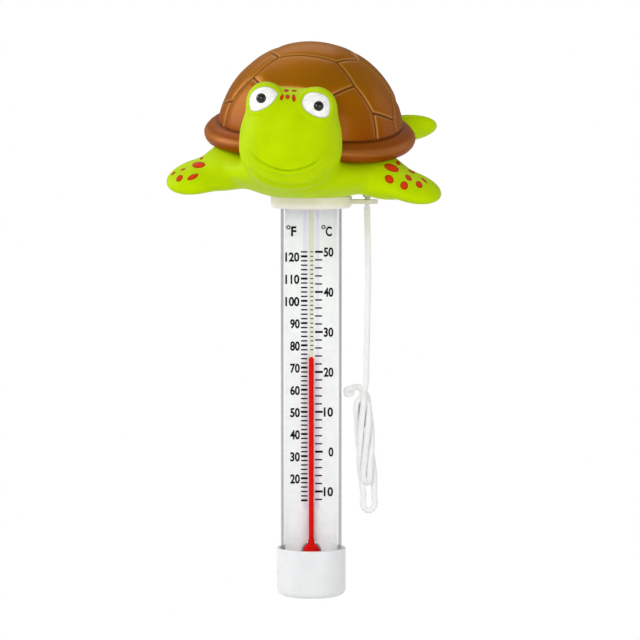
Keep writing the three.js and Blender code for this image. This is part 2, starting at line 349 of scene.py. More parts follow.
def clear_wall(name, tint, edge_alpha, edge_start, roughness):
    """A thin clear wall: nearly nothing face on, grey where it is seen edge on."""
    shades = (toned(tint, 0.97), toned(tint))
    material = surface(name, shades, [grain(2.5, 1.0)], roughness, Specular_IOR_Level=0.25)
    tree = material.node_tree
    facing = node(tree, "ShaderNodeLayerWeight", Blend=0.5).outputs["Facing"]
    smooth = {"interpolation_type": "SMOOTHSTEP"}
    edges = {"From_Min": edge_start, "From_Max": edge_start + 0.1, "To_Min": 0.003, "To_Max": edge_alpha}
    alpha = node(tree, "ShaderNodeMapRange", smooth, Value=facing, **edges).outputs["Result"]
    tree.links.new(alpha, tree.nodes["Principled BSDF"].inputs["Alpha"])
    return material


def printed_card(name):
    """Coated white card: flat white with a faint paper mottle."""
    shades = (toned("#EEF0F1"), toned("#F6F7F7"))
    return surface(name, shades, [grain(3), grain(0.3, 3.0)], (0.5, 0.6), bump=(0.02, 0.2), rough_from=1)


def soft_print(name, hex_colour):
    """Ink printed on the card: matt, with the mottle of the card below it."""
    shades = (toned(hex_colour, 0.96), toned(hex_colour, 1.02))
    return surface(name, shades, [grain(2)], (0.5, 0.6), Specular_IOR_Level=0.1)


def dyed_spirit(name, hex_colour):
    """Red dyed spirit seen through glass: deep, wet and nearly even."""
    shades = (toned(hex_colour, 0.94), toned(hex_colour))
    return surface(name, shades, [grain(2)], 0.3, Specular_IOR_Level=0.02)


def braided_nylon(name, hex_colour):
    """Braided nylon: matt white yarn with fine filaments, and painted shade greying it down between the
    strands.
    """
    return surface(
        name,
        (toned(hex_colour, 0.93), toned(hex_colour, 1.03)),
        [grain(0.25)],
        0.75,
        bump=(0.06, 0.4),
        # Painted shade: the braid is painted greyer down between its strands.
        painted=[("strand_gap_shade", toned(hex_colour, 0.78))],
        Sheen_Weight=0.3,
        Sheen_Roughness=0.5,
    )


def turned_steel(name):
    """Turned steel: fine rings left by the tool."""
    around = {"wave_type": "RINGS", "rings_direction": "Z"}
    rings = ("ShaderNodeTexWave", around, {"Scale": 900.0, "Distortion": 0.4})
    shades = (toned("#85888B"), toned("#A0A3A6"))
    return surface(name, shades, [rings], (0.3, 0.42), bump=(0.02, 0.3), Metallic=1.0)


# ---------------------------------------------------------------- mesh helpers


def piece_from(name, vertices, faces, material, smooth=True):
    """A new object from vertices in metres and faces."""
    mesh = bpy.data.meshes.new(name)
    mesh.from_pydata([tuple(v) for v in vertices], [], [tuple(f) for f in faces])
    mesh.update()
    mesh.polygons.foreach_set("use_smooth", [smooth] * len(mesh.polygons))
    made = bpy.data.objects.new(name, mesh)
    bpy.context.scene.collection.objects.link(made)
    if material:
        mesh.materials.append(material)
    return made


def stamp(mesh, name, values):
    """Writes one number a point as an attribute."""
    attribute = mesh.attributes.get(name) or mesh.attributes.new(name, "FLOAT", "POINT")
    attribute.data.foreach_set("value", np.asarray(values, np.float32))


def grid_faces(rows, columns):
    """Quads over rows of points, closed round each row."""
    here = np.arange((rows - 1) * columns).reshape(rows - 1, columns)
    after = np.roll(here, -1, axis=1)
    return np.stack([here, after, after + columns, here + columns], -1).reshape(-1, 4).tolist()


def fan(hub, start, sides, backward=False):
    """Triangles from a hub to the ring of points that begins at start."""
    pairs = [(start + side, start + (side + 1) % sides) for side in range(sides)]
    return [(hub, b, a) if backward else (hub, a, b) for a, b in pairs]


def outward_faces(thing):
    """Turns all of a closed mesh's faces outward."""
    work = bmesh.new()
    work.from_mesh(thing.data)
    bmesh.ops.recalc_face_normals(work, faces=work.faces[:])
    work.to_mesh(thing.data)
    work.free()


def spun(name, profile, material, sides=96, centre=(0.0, 0.0)):
    """A solid of revolution about a vertical axis. The profile runs from axis to axis, upward outside."""
    rings = [p for p in profile if p[0] > 1e-9]
    vertices = []
    for radius, height in rings:
        for side in range(sides):
            angle = 2 * math.pi * side / sides
            vertices.append(
                (centre[0] + radius * math.cos(angle), centre[1] + radius * math.sin(angle), height)
            )
    last = (len(rings) - 1) * sides
    faces = grid_faces(len(rings), sides)
    for (radius, height), start in ((profile[0], 0), (profile[-1], last)):
        if radius <= 1e-9:
            faces += fan(len(vertices), start, sides, backward=start == 0)
            vertices.append((*centre, height))
    if profile[0][0] > 1e-9:
        ends = zip(fan(0, last, sides), fan(0, 0, sides))
        faces += [(low, after_low, after, here) for (_, low, after_low), (_, here, after) in ends]
    return piece_from(name, vertices, faces, material)


def arc(centre_radius, centre_height, radius, start_degrees, end_degrees, steps):
    """Profile points on an arc, in metres."""
    points = []
    for step in range(steps + 1):
        angle = math.radians(start_degrees + (end_degrees - start_degrees) * step / steps)
        points.append(
            (max(centre_radius + radius * math.cos(angle), 0.0), centre_height + radius * math.sin(angle))
        )
    return points


def refinish(name, material):
    """Gives a CAD node that keeps its shape its own material, and returns it."""
    part = frame["nodes"][name]
    part.data.materials.clear()
    part.data.materials.append(material)
    return part


def finish_piece(thing, body, slot, *nodes):
    """Rides on a body and hides the CAD nodes it stands for; slot is not used."""
    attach(thing, body)
    if nodes:
        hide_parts(*nodes)
    return thing


# ---------------------------------------------------------------- the turtle's forms


def turtle_matrix(settings):
    """The shell's own frame as a matrix: nose towards its own -Y, base plane at its own z = 0."""
    pitch, roll, yaw = settings.tilt
    turn = Matrix.Rotation(pitch, 4, "X") @ Matrix.Rotation(roll, 4, "Y") @ Matrix.Rotation(yaw, 4, "Z")
    return Matrix.Translation(Vector(settings.centre)) @ turn


class Egg:
    """An ellipsoid with its own turn, used as a soft form that merges with its neighbours."""

    def __init__(self, centre, radii, turn=(0, 0, 0)):
        """centre and radii in millimetres, turn in degrees about X, then Y, then Z."""
        self.centre = np.array(centre) * MM
        self.radii = np.array(radii) * MM
        angles = [math.radians(a) for a in turn]
        spin = Matrix.Rotation(angles[2], 3, "Z") @ Matrix.Rotation(angles[1], 3, "Y")
        self.turn = np.array(spin @ Matrix.Rotation(angles[0], 3, "X"))

    def distance(self, points):
        """About how far each point is outside the form."""
        local = (points - self.centre) @ self.turn
        near = np.linalg.norm(local / self.radii, axis=1)
        far = np.linalg.norm(local / self.radii**2, axis=1)
        return near * (near - 1.0) / np.maximum(far, 1e-9)

    def mesh_points(self, rows=16, columns=24):
        """A coarse closed mesh of the form."""
        units = []
        for row in range(1, rows):
            polar = math.pi * row / rows
            for column in range(columns):
                around = 2 * math.pi * column / columns
                level = math.sin(polar)
                units.append((level * math.cos(around), level * math.sin(around), -math.cos(polar)))
        faces = grid_faces(rows - 1, columns)
        low, top = len(units), (rows - 2) * columns
        units += [(0, 0, -1), (0, 0, 1)]
        vertices = [self.centre + self.turn @ (np.array(unit) * self.radii) for unit in units]
        faces += fan(low, 0, columns, backward=True)
        faces += fan(low + 1, top, columns)
        return vertices, faces


# Head, chest and flippers: centre, half sizes and turn, in mm and degrees of the part's frame.
HEAD_X = -7.9
HEAD_FORMS = [
    Egg((HEAD_X, -34.5, 184.9), (19.7, 18.5, 18.9)),  # skull
    Egg((HEAD_X, -37.0, 179.0), (19.2, 17.0, 13.0)),  # cheeks
    Egg((HEAD_X - 0.4, -34.0, 174.0), (16.0, 17.5, 9.3)),  # lower jaw
    Egg((-17.6, -37.5, 198.3), (7.3, 10.0, 7.9), (0, 0, 8)),  # brow over the right eye
    Egg((2.4, -37.5, 196.2), (7.5, 10.0, 7.9), (0, 0, -8)),  # brow over the left eye
]
BODY_FORMS = [
    Egg((-0.5, 4.0, 175.5), (33.8, 36.5, 14.5), (12, 2.5, -11)),  # belly
    Egg((-4.0, -17.5, 170.3), (29.5, 22.5, 9.3), (4, 3, 0)),  # chest
    Egg((-30.0, -9.0, 173.8), (15.0, 13.0, 8.6), (26, -22, 0)),  # right shoulder
    Egg((-44.0, -10.0, 168.7), (13.6, 11.0, 5.0), (26, -14, 6)),  # right front flipper
    Egg((26.0, -14.0, 169.5), (14.4, 13.5, 7.6), (24, 20, 0)),  # left shoulder
    Egg((38.6, -20.0, 164.8), (13.0, 11.0, 4.6), (20, 17, -8)),  # left front flipper
    Egg((37.0, 36.0, 186.6), (14.6, 7.6, 4.4), (-34, -4, 10)),  # left rear flipper
    Egg((-30.0, 40.0, 187.0), (14.0, 7.6, 4.4), (-34, 4, -34)),  # right rear flipper
]
MERGE = 1.3 * MM  # width of the soft fillet where forms meet


def merged_distance(points, forms, merge=MERGE):
    """Distance to forms that flow into each other."""
    each = np.stack([form.distance(points) for form in forms])
    nearest = each.min(0)
    return nearest - merge * np.log(np.exp(-(each - nearest) / merge).sum(0))


def settle(points, forms, rounds=6):
    """Moves points onto the merged forms' surface."""
    step = 0.05 * MM
    for _ in range(rounds):
        here = merged_distance(points, forms)
        slope = np.stack(
            [(merged_distance(points + axis * step, forms) - here) / step for axis in np.eye(3)], axis=1
        )
        size = np.maximum((slope**2).sum(1), 0.05)
        points = points - np.clip(here / size, -MM, MM)[:, None] * slope
    return points


def voxel_union(name, forms, voxel):
    """One closed mesh round all the forms."""
    vertices, faces = [], []
    for form in forms:
        points, quads = form.mesh_points()
        start = len(vertices)
        vertices += points
        faces += [tuple(i + start for i in quad) for quad in quads]
    rough = piece_from(name, vertices, faces, None)
    remesh = rough.modifiers.new("union", "REMESH")
    remesh.mode = "VOXEL"
    remesh.voxel_size = voxel
    baked = bpy.data.meshes.new_from_object(
        rough.evaluated_get(bpy.context.evaluated_depsgraph_get())
    )
    rough.modifiers.clear()
    rough.data = baked
    baked.name = name
    return rough


def points_of(thing):
    """A mesh's points as an array, in metres."""
    data = np.empty(len(thing.data.vertices) * 3, np.float32)
    thing.data.vertices.foreach_get("co", data)
    return data.reshape(-1, 3).astype(float)


def set_points(thing, points):
    """Moves a mesh's points to these."""
    thing.data.vertices.foreach_set("co", points.astype(np.float32).ravel())
    thing.data.update()


def normals_of(thing):
    """A mesh's point normals as an array."""
    data = np.empty(len(thing.data.vertices) * 3, np.float32)
    thing.data.vertices.foreach_get("normal", data)
    return data.reshape(-1, 3).astype(float)


def distance_to_line(points, line):
    """Distance from each 2D point to a line of 2D points."""
    nearest = np.full(len(points), np.inf)
    for start, end in zip(line[:-1], line[1:]):
        start, end = np.array(start), np.array(end)
        along = end - start
        share = np.clip(((points - start) @ along) / (along @ along), 0, 1)
        nearest = np.minimum(nearest, np.linalg.norm(points - start - share[:, None] * along, axis=1))
    return nearest


def inside_outline(points, outline):
    """Which of the 2D points lie inside a closed outline."""
    inside = np.zeros(len(points), bool)
    for start, end in zip(outline[:-1], outline[1:]):
        spans = (start[1] > points[:, 1]) != (end[1] > points[:, 1])
        rise = end[1] - start[1] if abs(end[1] - start[1]) > 1e-9 else 1e-9
        crossing = start[0] + (points[:, 1] - start[1]) / rise * (end[0] - start[0])
        inside ^= spans & (points[:, 0] < crossing)
    return inside


def smooth_line(points, steps=10):
    """A smooth curve through given points."""
    points = [np.array(p, float) for p in points]
    ends = [2 * points[0] - points[1], *points, 2 * points[-1] - points[-2]]
    made = []
    for before, start, end, after in zip(ends, ends[1:], ends[2:], ends[3:]):
        for step in range(steps):
            t = step / steps
            made.append(
                0.5
                * (
                    2 * start
                    + (end - before) * t
                    + (2 * before - 5 * start + 4 * end - after) * t**2
                    + (3 * start - before - 3 * end + after) * t**3
                )
            )
    made.append(points[-1])
    return made


# Moulded lines of the face, as (x, z) in mm seen from the front: line, depth, width, lip above it.
FACE_LINES = [
    # smile
    ([(-23.6, 179.6), (-19.2, 175.3), (-14.4, 172.9), (-9.4, 172.0), (-3.6, 172.8), (1.2, 174.9),
      (4.0, 177.0)], 1.1, 0.42, 0.45),
    # under the chin
    ([(-23.4, 172.4), (-17.5, 168.2), (-9.0, 166.0), (0.5, 167.4), (7.5, 171.6)], 0.95, 0.6, 0.35),
    # neck fold
    ([(-18.2, 165.4), (-7.0, 163.6), (6.0, 166.6)], 0.5, 0.8, 0.15),
]


FACE_FRONT = -28 * MM  # the face's lines are pressed only into skin in front of this depth


def mould_face(body):
    """Presses the smile and chin lines into the head's front."""
    points = points_of(body)
    normals = normals_of(body)
    front = (points[:, 1] < FACE_FRONT) & (normals[:, 1] < -0.1)
    flat = points[:, [0, 2]] / MM
    push = np.zeros(len(points))
    for line, depth, width, lip in FACE_LINES:
        route = smooth_line(line)
        away = distance_to_line(flat, route)
        ends = np.minimum(
            np.linalg.norm(flat - route[0], axis=1), np.linalg.norm(flat - route[-1], axis=1)
        )
        fade = np.clip(ends / 4.0, 0.15, 1)
        push -= depth * fade * np.exp(-((away / width) ** 2))
        push += lip * fade * np.exp(-(((away - 2.2 * width) / (1.6 * width)) ** 2))
    for outline in (RIGHT_EYE, LEFT_EYE):
        edge = smooth_line([*outline, outline[0]], 4)
        away = distance_to_line(flat, edge)
        out_of_eye = np.where(inside_outline(flat, edge), -away, away)
        push += 0.5 * np.exp(-(((out_of_eye - 0.75) / 0.7) ** 2))
    facing = np.clip((-normals[:, 1] - 0.1) / 0.3, 0, 1)
    points[front] += (push * facing * MM)[front, None] * normals[front]
    set_points(body, points)


def refine_near_face_lines(body, reach_mm=2.2):
    """Splits the faces near the moulded lines, so that they stay crisp."""
    work = bmesh.new()
    work.from_mesh(body.data)
    centres = np.array([f.calc_center_median() for f in work.faces])
    normals = np.array([f.normal for f in work.faces])
    flat = centres[:, [0, 2]] / MM
    near = np.full(len(centres), np.inf)
    for line in [row[0] for row in FACE_LINES] + [RIGHT_EYE, LEFT_EYE]:
        near = np.minimum(near, distance_to_line(flat, smooth_line(line)))
    picked = (near < reach_mm) & (centres[:, 1] < FACE_FRONT + 2 * MM) & (normals[:, 1] < -0.05)
    work.faces.ensure_lookup_table()
    chosen = [work.faces[i] for i in np.flatnonzero(picked)]
    edges = list({edge for face in chosen for edge in face.edges})
    bmesh.ops.subdivide_edges(work, edges=edges, cuts=1, use_grid_fill=True)
    bmesh.ops.triangulate(work, faces=[f for f in work.faces if len(f.verts) > 4])
    work.to_mesh(body.data)
    work.free()
    body.data.polygons.foreach_set("use_smooth", [True] * len(body.data.polygons))
    body.data.update()


COLLAR_REACH = 26 * MM  # radius within which the belly is kept above the collar's foot
BELLY_RISE = 5.0 * MM
KNOT_ROOM = 3.2 * MM  # radius of the hollow in the skin over the lanyard's knot
KNOT_GAP = 0.4 * MM


def build_turtle_body(settings):
    """The turtle's skin: one soft moulding with the face pressed into it."""
    forms = HEAD_FORMS + BODY_FORMS
    body = voxel_union("turtle_body_skin", forms, settings.turtle.skin_voxel)
    set_points(body, settle(points_of(body), forms))
    refine_near_face_lines(body)
    set_points(body, settle(points_of(body), forms, 3))
    mould_face(body)
    points = points_of(body)
    over_collar = np.hypot(points[:, 0], points[:, 1]) < COLLAR_REACH
    points[over_collar, 2] = np.maximum(points[over_collar, 2], COLLAR_LOW.z + BELLY_RISE)
    knot = np.array([(KNOT_LOW.x + KNOT_HIGH.x) / 2, 0.0, KNOT_LOW.z])
    beside_knot = np.hypot(points[:, 0] - knot[0], points[:, 1] - knot[1]) < KNOT_ROOM
    under = beside_knot & (points[:, 2] < KNOT_HIGH.z + 6 * MM)
    points[under, 2] = np.maximum(points[under, 2], KNOT_HIGH.z + KNOT_GAP)
    set_points(body, points)
    body.data.materials.append(moulded_vinyl("soft_pvc_lime_satin", settings.colours.skin))
    body.data.polygons.foreach_set("use_smooth", [True] * len(body.data.polygons))
    return finish_piece(body, "stem", "green_vinyl", "turtle_body")


# Corners of the scutes as (angle from the top, angle round from the nose), for one side, in degrees.
SCUTE_CORNERS = {
    "brow": (26, 46),
    "side_front": (29, 88),
    "cheek": (46, 50),
    "bridge": (51, 28),
    "elbow": (65, 58),
    "elbow_rim": (88, 57),
    "flank": (73, 79),
    "flank_rim": (88, 81),
    "waist": (58, 93),
    "side_back": (25, 124),
    "hip": (46, 130),
    "hip_low": (67, 124),
    "rib": (68, 106),
    "rib_rim": (88, 108),
    "hip_rim": (88, 128),
    "tail_top": (52, 155),
    "tail_low": (73, 152),
    "tail_rim": (88, 152),
}
SCUTE_SEAMS = [
    ("brow", "side_front"), ("side_front", "side_back"), ("brow", "cheek"), ("cheek", "bridge"),
    ("cheek", "elbow"), ("elbow", "elbow_rim"), ("elbow", "flank"), ("flank", "flank_rim"),
    ("flank", "waist"), ("waist", "side_front"), ("waist", "rib"), ("rib", "rib_rim"),
    ("rib", "hip_low"), ("hip_low", "hip_rim"), ("hip_low", "hip"), ("hip", "side_back"),
    ("hip", "tail_top"), ("tail_top", "tail_low"), ("tail_low", "tail_rim"),
]
SEAMS_ACROSS = ["brow", "bridge", "side_back", "tail_top"]  # each joined to its own mirror image


def scute_point(name, side):
    """A scute corner's unit direction from the dome's centre, on the side of this sign."""
    polar, around = (math.radians(a) for a in SCUTE_CORNERS[name])
    return np.array(
        [side * math.sin(polar) * math.sin(around), -math.sin(polar) * math.cos(around), math.cos(polar)]
    )


def seam_lines():
    """Every seam as a pair of unit directions from the dome's centre."""
    lines = [(scute_point(a, side), scute_point(b, side)) for side in (-1, 1) for a, b in SCUTE_SEAMS]
    lines += [(scute_point(a, -1), scute_point(a, 1)) for a in SEAMS_ACROSS]
    return lines


def distance_to_seams(directions, radius):
    """Distance over the dome from each direction to the nearest seam."""
    nearest = np.full(len(directions), np.inf)
    for start, end in seam_lines():
        pole = np.cross(start, end)
        pole = pole / np.linalg.norm(pole)
        beside = np.cross(pole, start)
        whole = math.atan2(end @ beside, end @ start)
        angle = np.clip(np.arctan2(directions @ beside, directions @ start), 0, whole)
        closest = np.cos(angle)[:, None] * start + np.sin(angle)[:, None] * beside
        nearest = np.minimum(nearest, np.linalg.norm(directions - closest, axis=1))
    return nearest * radius


DOME_ROWS = 160
DOME_SIDES = 480
CREASE_HEIGHT = 5.6 * MM  # where the dome ends and the rolled lip begins
SHELL_WALL = 2.4 * MM
CROWN_RISE = 0.45 * MM  # how far each panel's middle stands above its seams
CROWN_RUN = 1.9  # mm from a seam over which a panel rises
SEAM_RUN = 0.38  # mm from a seam's middle over which its groove fades
ARCH_RUN = 36  # degrees either side of the neck over which the rim is raised

# The rolled lip as (outward, upward) steps in mm from the crease, ending inside the shell.
LIP = [
    (0.15, -0.35), (0.45, -0.55), (1.1, -0.45), (2.1, -0.8), (3.2, -1.5), (4.3, -2.4), (5.1, -3.3),
    (5.6, -4.1), (5.8, -4.9), (5.7, -5.9), (5.2, -7.1), (4.4, -8.0), (3.3, -8.6), (1.6, -8.7),
    (-0.4, -8.2), (-1.7, -7.7), (-2.1, -6.5), (-2.1, -4.0),
]


def shell_profile(dome_width, dome_height):
    """The shell's outline in its own frame, from the top down over the rim and back up inside."""
    rows = []
    lowest = math.degrees(math.asin(CREASE_HEIGHT / dome_height))
    for step in range(DOME_ROWS + 1):
        angle = math.radians(90 - (90 - lowest) * step / DOME_ROWS)
        rows.append((dome_width * math.cos(angle), dome_height * math.sin(angle), 1.0))
    crease = rows[-1][0]
    rows += [(crease + out * MM, CREASE_HEIGHT + down * MM, 0.0) for out, down in LIP]
    for step in range(1, 25):
        angle = math.radians(90 * step / 24)
        across = (dome_width - SHELL_WALL) * math.cos(angle)
        rows.append((across, (dome_height - SHELL_WALL) * math.sin(angle), 0.0))
    return rows


def build_turtle_shell(settings):
    """The domed shell with its seams and rolled lip, as one closed moulding."""
    width, length, height = settings.turtle.dome
    rows = shell_profile(width, height)
    sides = DOME_SIDES
    stretch = length / width
    grid = []
    for radius, level, _ in rows[1:-1]:
        for side in range(sides):
            around = 2 * math.pi * side / sides
            grid.append((radius * math.sin(around), -radius * math.cos(around) * stretch, level))
    points = np.array(grid)
    on_dome = np.repeat([row[2] for row in rows[1:-1]], sides) > 0.5
    directions = points / np.array([width, length, height])
    directions = directions / np.maximum(np.linalg.norm(directions, axis=1), 1e-9)[:, None]
    away = distance_to_seams(directions, (width + length) / 2) / MM
    away[~on_dome] = 99.0
    outward = points / np.array([width, length, height]) ** 2
    outward = outward / np.linalg.norm(outward, axis=1)[:, None]
    crown = CROWN_RISE * (1 - np.exp(-((away / CROWN_RUN) ** 2)))
    seam = settings.turtle.seam_depth * np.exp(-((away / SEAM_RUN) ** 2))
    to_rim = np.clip(points[:, 2] / (2.5 * MM), 0, 1)
    points[on_dome] += ((crown * to_rim - seam)[:, None] * outward)[on_dome]
    around = np.degrees(np.abs(np.arctan2(points[:, 0], -points[:, 1])))
    arch = settings.turtle.neck_arch * np.exp(-((around / ARCH_RUN) ** 2))
    under_lip = np.clip((4 * MM - points[:, 2]) / (6 * MM), 0, 1)
    points[:, 2] += arch * (1 + 0.4 * under_lip) * np.clip((14 * MM - points[:, 2]) / (10 * MM), 0, 1)
    vertices = [tuple(p) for p in points]
    faces = grid_faces(len(rows) - 2, sides)
    top, under = len(vertices), len(vertices) + 1
    vertices += [(0.0, 0.0, height + 0.5 * MM), (0.0, 0.0, rows[-1][1])]
    last = (len(rows) - 3) * sides
    faces += fan(top, 0, sides, backward=True)
    faces += fan(under, last, sides)
    shell = piece_from(
        "turtle_shell_pearl", vertices, faces, pearl_paint("bronze_pearl_paint", settings.colours.shell)
    )
    in_seam = np.append(np.exp(-((away / 0.32) ** 2)), [0.0, 0.0])
    row_of = np.repeat(np.arange(len(rows) - 2), sides)
    crease_rows = (row_of >= DOME_ROWS - 1) & (row_of <= DOME_ROWS + 2)
    in_seam[: len(row_of)][crease_rows] = np.maximum(in_seam[: len(row_of)][crease_rows], 0.55)
    # Painted highlight: a light band a little way out from each seam, and a fainter one along the lip's
    # rows.
    seam_highlight = np.append(0.55 * np.exp(-(((away - 0.8) / 0.28) ** 2)), [0.0, 0.0])
    lip_rows = (row_of >= DOME_ROWS + 6) & (row_of <= DOME_ROWS + 8)
    seam_highlight[: len(row_of)][lip_rows] = 0.2
    stamp(shell.data, "seam", in_seam)
    stamp(shell.data, "edge", seam_highlight)
    skirt = 1 - np.clip(directions[:, 2] / 0.75, 0, 1)
    stamp(shell.data, "skirt", np.append(skirt, [0.0, 1.0]))
    shell.data.transform(turtle_matrix(settings.turtle))
    shell.data.update()
    return finish_piece(shell, "stem", "brown_vinyl", "turtle_shell")


# ---------------------------------------------------------------- paint on the turtle


def patch_on(body_tree, name, outline, material, lift_mm, dome_mm=0.0, spacing_mm=0.45, sink_mm=0.35):
    """A thin painted patch laid on the skin from the front. outline is (x, z) points in mm."""
    outline = [np.array(p, float) for p in outline]
    work = bmesh.new()
    ring = [work.verts.new((p[0], 0.0, p[1])) for p in outline]
    face = work.faces.new(ring)
    bmesh.ops.triangulate(work, faces=[face])
    longest = max(e.calc_length() for e in work.edges)
    while longest > spacing_mm * 1.6:
        long_edges = [e for e in work.edges if e.calc_length() > spacing_mm * 1.6]
        bmesh.ops.subdivide_edges(work, edges=long_edges, cuts=1)
        bmesh.ops.triangulate(work, faces=[f for f in work.faces if len(f.verts) > 3])
        bmesh.ops.beautify_fill(work, faces=work.faces[:], edges=work.edges[:])
        longest = max(e.calc_length() for e in work.edges)
    closed = [*outline, outline[0]]
    work.verts.ensure_lookup_table()
    flat = np.array([(v.co.x, v.co.z) for v in work.verts])
    inside = distance_to_line(flat, closed)
    deepest = max(inside.max(), 1e-6)
    hits = []
    for x, z in flat:
        hit, normal, _, _ = body_tree.ray_cast(Vector((x * MM, -0.2, z * MM)), Vector((0, 1, 0)))
        if hit is None:
            work.free()
            raise RuntimeError(f"{name} runs off the skin")
        hits.append((hit, normal))
    top, low = [], []
    for (hit, normal), depth in zip(hits, inside):
        share = min(depth / deepest, 1.0)
        rise = lift_mm * min(depth / 0.35, 1.0) + dome_mm * (1 - (1 - share) ** 2)
        top.append(hit + normal * rise * MM)
        low.append(hit - normal * sink_mm * MM)
    faces = [[v.index for v in f.verts] for f in work.faces]
    borders = [e for e in work.edges if len(e.link_faces) == 1]
    count = len(top)
    sides = []
    for edge in borders:
        a, b = (v.index for v in edge.verts)
        sides.append((a, b, b + count, a + count))
    work.free()
    under = [[i + count for i in reversed(f)] for f in faces]
    made = piece_from(name, top + low, faces + under + sides, material)
    outward_faces(made)
    rim = np.clip(1 - inside / 0.45, 0, 1)
    stamp(made.data, "rim", np.concatenate([rim, np.ones(count)]))
    return made


def oval(centre, size, tilt_degrees=0, points=20):
    """An oval outline of the given full width and height."""
    tilt = math.radians(tilt_degrees)
    turn = np.array([[math.cos(tilt), math.sin(tilt)], [-math.sin(tilt), math.cos(tilt)]])
    angles = 2 * math.pi * np.arange(points) / points
    flat = np.stack([size[0] / 2 * np.cos(angles), size[1] / 2 * np.sin(angles)], 1)
    return flat @ turn + np.array(centre)


# Eye outlines as (x, z) in mm seen from the front, round each white from its inner corner.
RIGHT_EYE = [(-12.5, 201.6), (-14.4, 203.4), (-17.4, 204.4), (-20.6, 203.7), (-23.0, 201.6), (-23.9, 198.8),
             (-23.6, 196.2), (-22.6, 194.9), (-20.2, 195.0), (-17.0, 196.4), (-14.4, 198.6)]
LEFT_EYE = [(-3.6, 198.4), (-2.4, 201.0), (0.4, 202.2), (3.6, 201.9), (6.4, 200.2), (7.4, 197.4),
            (7.2, 194.4), (6.2, 192.7), (3.4, 192.4), (-0.2, 193.8), (-2.8, 196.0)]
PUPILS = {"right": (-19.2, 199.9), "left": (3.0, 196.9)}
PUPIL_SIZE = 3.9

# Forehead spots: centre, size and tilt in mm and degrees, seen from the front.
FOREHEAD_SPOTS = [
    ((-9.5, 202.8), (2.0, 1.1), -4), ((-6.5, 202.7), (2.2, 0.8), -4), ((-11.2, 200.2), (1.3, 2.4), -18),
    ((-9.0, 200.4), (1.7, 1.8), 0), ((-6.6, 199.9), (1.5, 2.8), 6),
]
# Flipper spots, the same way.
RIGHT_FLIPPER_SPOTS = [
    ((-44.4, 173.2), (5.4, 2.4), 5), ((-46.6, 168.6), (4.8, 1.9), 25), ((-51.9, 168.0), (3.2, 2.1), 45),
    ((-50.6, 171.4), (2.2, 0.7), 20), ((-54.5, 169.8), (2.6, 0.7), 38), ((-43.4, 175.7), (2.0, 0.7), 30),
]
LEFT_FLIPPER_SPOTS = [
    ((31.6, 172.3), (6.2, 2.7), -20), ((34.4, 174.0), (1.9, 1.5), -30), ((30.6, 168.0), (3.9, 3.0), -40),
    ((36.4, 165.6), (3.1, 3.3), 0), ((38.2, 168.5), (3.1, 1.7), -40), ((42.3, 165.9), (3.1, 2.3), -45),
    ((39.6, 170.7), (2.9, 0.9), -25), ((44.4, 167.4), (3.3, 0.7), -40),
]


def build_turtle_paint(settings):
    """Eye whites, pupils and the sprayed spots."""
    skin = bpy.data.objects["turtle_body_skin"]
    tree = BVHTree.FromObject(skin, bpy.context.evaluated_depsgraph_get())
    white = sprayed_paint("eye_white_enamel", "#FFFFFA", 0.22)
    black = sprayed_paint("pupil_black_enamel", "#10110C", 0.08)
    orange = sprayed_paint("orange_mask_spray", settings.colours.spots, 0.4, 0.08)
    made = []
    for side, outline in (("right", RIGHT_EYE), ("left", LEFT_EYE)):
        closed = [*outline, outline[0]]
        soft = smooth_line(closed, 4)[:-1]
        made.append(patch_on(tree, f"{side}_eye_white", soft, white, 0.12, 0.35))
    under = bpy.context.evaluated_depsgraph_get()
    for side, centre in PUPILS.items():
        eye_tree = BVHTree.FromObject(bpy.data.objects[f"{side}_eye_white"], under)
        round_pupil = oval(centre, (PUPIL_SIZE, PUPIL_SIZE), 0, 28)
        made.append(patch_on(eye_tree, f"{side}_pupil", round_pupil, black, 0.12, 0.8, 0.35, 0.1))
    groups = (
        ("forehead_spot", FOREHEAD_SPOTS),
        ("right_flipper_spot", RIGHT_FLIPPER_SPOTS),
        ("left_flipper_spot", LEFT_FLIPPER_SPOTS),
    )
    for label, spots in groups:
        for number, (centre, size, tilt) in enumerate(spots, 1):
            outline = oval(centre, size, tilt)
            made.append(patch_on(tree, f"{label}_{number}", outline, orange, 0.08, 0.05, 0.4, 0.2))
    for thing in made:
        finish_piece(thing, "stem", "green_vinyl")
    return made


# ---------------------------------------------------------------- stem


def build_cap(settings):
    """The end cap: a cup round the tube's foot, with a rounded corner and lip."""
    radius = CAP_HIGH.x
    top = CAP_HIGH.z
    inner = TUBE_HIGH.x + 0.3 * MM
    corner = 3.0 * MM
    lip = 0.5 * MM
    floor = 3.0 * MM
    profile = [(0.0, 0.25 * MM), (radius - corner - 1.4 * MM, 0.25 * MM), (radius - corner - 0.8 * MM, 0.0)]
    profile += arc(radius - corner, corner, corner, -90, 0, 12)
    profile += arc(radius - lip, top - lip, lip, 0, 90, 5)
    profile += arc(inner + lip, top - lip, lip, 90, 180, 5)
    profile += [(inner, floor), (0.0, floor)]
    material = moulded_plastic("abs_gloss_white", settings.colours.cap, 0.22)
    cap = spun("end_cap_moulded", profile, material, 128)
    return finish_piece(cap, "stem", "white_plastic", "end_cap")


def build_tube():
    """The clear tube, its outside and its bore in two finishes."""
    outer = TUBE_HIGH.x
    inner = outer - 1.2 * MM
    edge = 0.2 * MM
    low, high = TUBE_LOW.z, TUBE_HIGH.z
    profile = [(inner, low + edge), (inner + edge, low), (outer - edge, low), (outer, low + edge)]
    profile += [(outer, high - edge), (outer - edge, high), (inner + edge, high), (inner, high - edge)]
    outside = clear_wall("acrylic_clear", "#8E9195", 0.55, 0.55, 0.06)
    tube = spun("stem_tube_clear", profile, outside, 128)
    tube.data.materials.append(clear_wall("acrylic_clear_bore", "#8E9195", 0.5, 0.82, 0.06))
    for polygon in tube.data.polygons:
        polygon.material_index = int(math.hypot(*polygon.center[:2]) < (inner + outer) / 2)
    return finish_piece(tube, "stem", "clear_plastic", "stem_tube")


